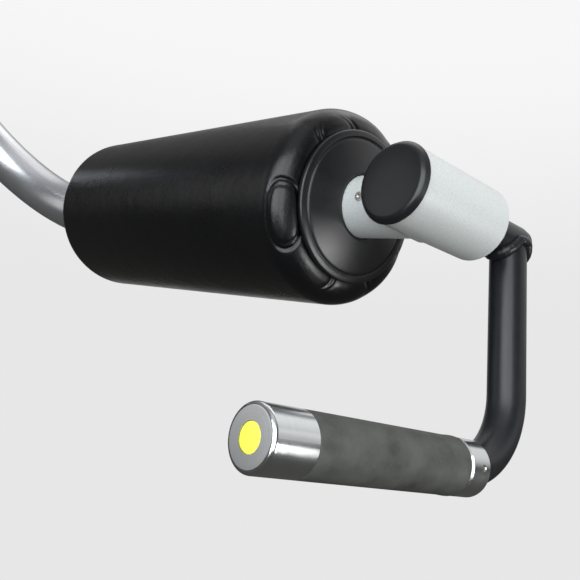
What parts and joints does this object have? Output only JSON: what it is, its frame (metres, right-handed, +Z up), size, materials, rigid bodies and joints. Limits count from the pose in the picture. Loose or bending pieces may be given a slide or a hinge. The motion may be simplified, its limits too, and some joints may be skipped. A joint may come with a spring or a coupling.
{
  "type": "exercise machine lever arm end",
  "caption": "Bent steel lever-arm end with a padded vinyl roller turning on it and a hand grip hanging from a cross tube, free to swing on ball bearings.",
  "frame": {"origin": "centre of the bent arm tube's open end, where the machine takes hold of it", "axes": "+Z up, +Y along the cross tube and the grip towards the hanging tube, +X along the arm's length from its held end towards the grip"},
  "size_m": [0.7498, 0.3738, 0.5571],
  "materials": {
    "arm_paint": "glossy metallic grey paint",
    "satin_paint": "satin light silver paint",
    "black_paint": "semi-gloss black powder coat",
    "black_plastic": "semi-gloss moulded black plastic",
    "vinyl": "smooth black upholstery vinyl, gathered at the ends",
    "foam": "open-cell foam",
    "core_plastic": "plain extruded tube",
    "bush_plastic": "natural acetal",
    "black_rubber": "dull dark grey rubber",
    "turned_aluminium": "turned, with fine lathe lines",
    "bright_steel": "zinc plated",
    "bearing_steel": "ground",
    "yellow_plastic": "bright yellow inlay"
  },
  "bodies": {
    "arm": {"arm_tube": "arm_paint", "pivot_spigot": "satin_paint", "spigot_weld": "satin_paint", "spigot_pin": "bright_steel", "spigot_screw": "bright_steel", "cross_tube": "satin_paint", "end_plug": "black_plastic", "near_outer_ring": "bearing_steel", "far_outer_ring": "bearing_steel", "outer_spacer": "bright_steel", "near_circlip": "bearing_steel", "far_circlip": "bearing_steel", "dust_seal": "black_rubber", "roller_keeper_ring": "bearing_steel", "near_thrust_washer": "bush_plastic", "far_thrust_washer": "bush_plastic", "stop_collar": "bright_steel", "stop_collar_screws": "bearing_steel"},
    "roller": {"roller_core": "core_plastic", "roller_foam": "foam", "roller_cover": "vinyl", "near_flange": "black_plastic", "far_flange": "black_plastic", "near_bush": "bush_plastic", "far_bush": "bush_plastic"},
    "handle": {"pivot_shaft": "black_paint", "shaft_weld": "black_paint", "drop_tube": "black_paint", "near_inner_ring": "bearing_steel", "far_inner_ring": "bearing_steel", "inner_spacer": "bright_steel", "shaft_washer": "bright_steel", "shaft_bolt": "bright_steel", "grip_collar": "turned_aluminium", "collar_screw": "bright_steel", "rubber_grip": "black_rubber", "end_cap": "turned_aluminium", "tube_insert": "bright_steel", "cap_screw": "bearing_steel", "cap_disc": "yellow_plastic"},
    "ball_cages": {"near_ball_set": "bearing_steel", "far_ball_set": "bearing_steel"}
  },
  "joints": [
    {"name": "roller_spin", "type": "hinge", "parent": "arm", "child": "roller", "pos_m": [0.67624, 0.24428, -0.32588], "axis": [-0.9816, 0, 0.1908], "continuous": true},
    {"name": "handle_swing", "type": "hinge", "parent": "arm", "child": "handle", "pos_m": [0.67624, 0.19428, -0.32588], "axis": [0, 1, 0], "range_deg": [-222, 65]},
    {"name": "cage_swing", "type": "hinge", "parent": "arm", "child": "ball_cages", "pos_m": [0.67624, 0.19428, -0.32588], "axis": [0, 1, 0], "range_deg": [-90, 40]}
  ],
  "couplings": [
    {"joint": "cage_swing", "follows": "handle_swing", "ratio": 0.3961}
  ]
}
